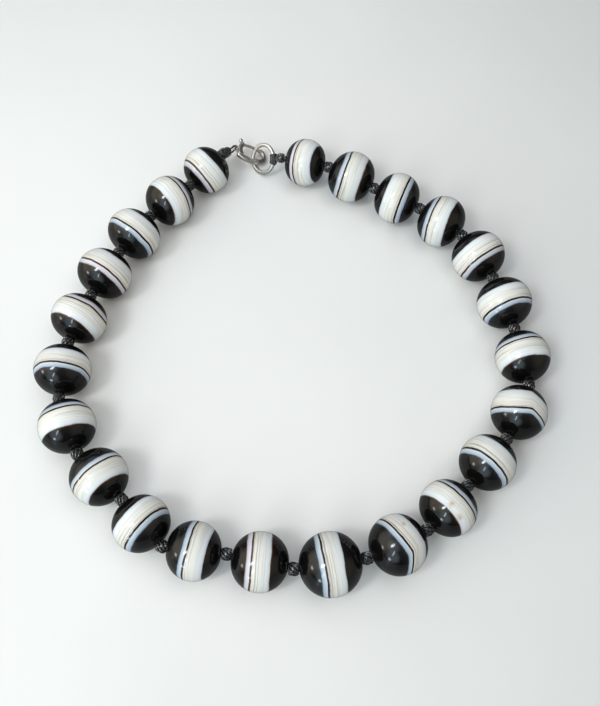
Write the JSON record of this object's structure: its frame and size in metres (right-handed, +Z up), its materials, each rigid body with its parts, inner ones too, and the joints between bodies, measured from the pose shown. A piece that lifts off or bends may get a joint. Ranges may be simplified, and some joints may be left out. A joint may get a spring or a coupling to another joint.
{
  "type": "bead necklace",
  "caption": "Closed loop of large polished banded agate beads, knotted between each bead on black silk, fastened by a silver trigger clasp hooked on a ring.",
  "frame": {"origin": "centre of the necklace's outline on the table that it lies on", "axes": "+Z up from the table, +Y from the largest bead towards the clasp, +X to the viewer's right"},
  "size_m": [0.175, 0.1734, 0.02],
  "materials": {
    "agate": "polished",
    "silk": "satin",
    "silver": "polished, lightly tarnished"
  },
  "bodies": {
    "necklace": {"bead_01": "agate", "bead_02": "agate", "bead_03": "agate", "bead_04": "agate", "bead_05": "agate", "bead_06": "agate", "bead_07": "agate", "bead_08": "agate", "bead_09": "agate", "bead_10": "agate", "bead_11": "agate", "bead_12": "agate", "bead_13": "agate", "bead_14": "agate", "bead_15": "agate", "bead_16": "agate", "bead_17": "agate", "bead_18": "agate", "bead_19": "agate", "bead_20": "agate", "bead_21": "agate", "bead_22": "agate", "bead_23": "agate", "thread": "silk", "clasp_body": "silver", "clasp_ring": "silver"},
    "lever": {"clasp_lever": "silver"}
  },
  "joints": [
    {"name": "clasp_lever_hinge", "type": "hinge", "parent": "necklace", "child": "lever", "pos_m": [-0.02327, 0.08356, 0.00494], "axis": [-0.4174, -0.1652, -0.8936], "range_deg": [0, 15], "stiffness_Nm_per_rad": 0.002, "springref_deg": -20.05}
  ]
}
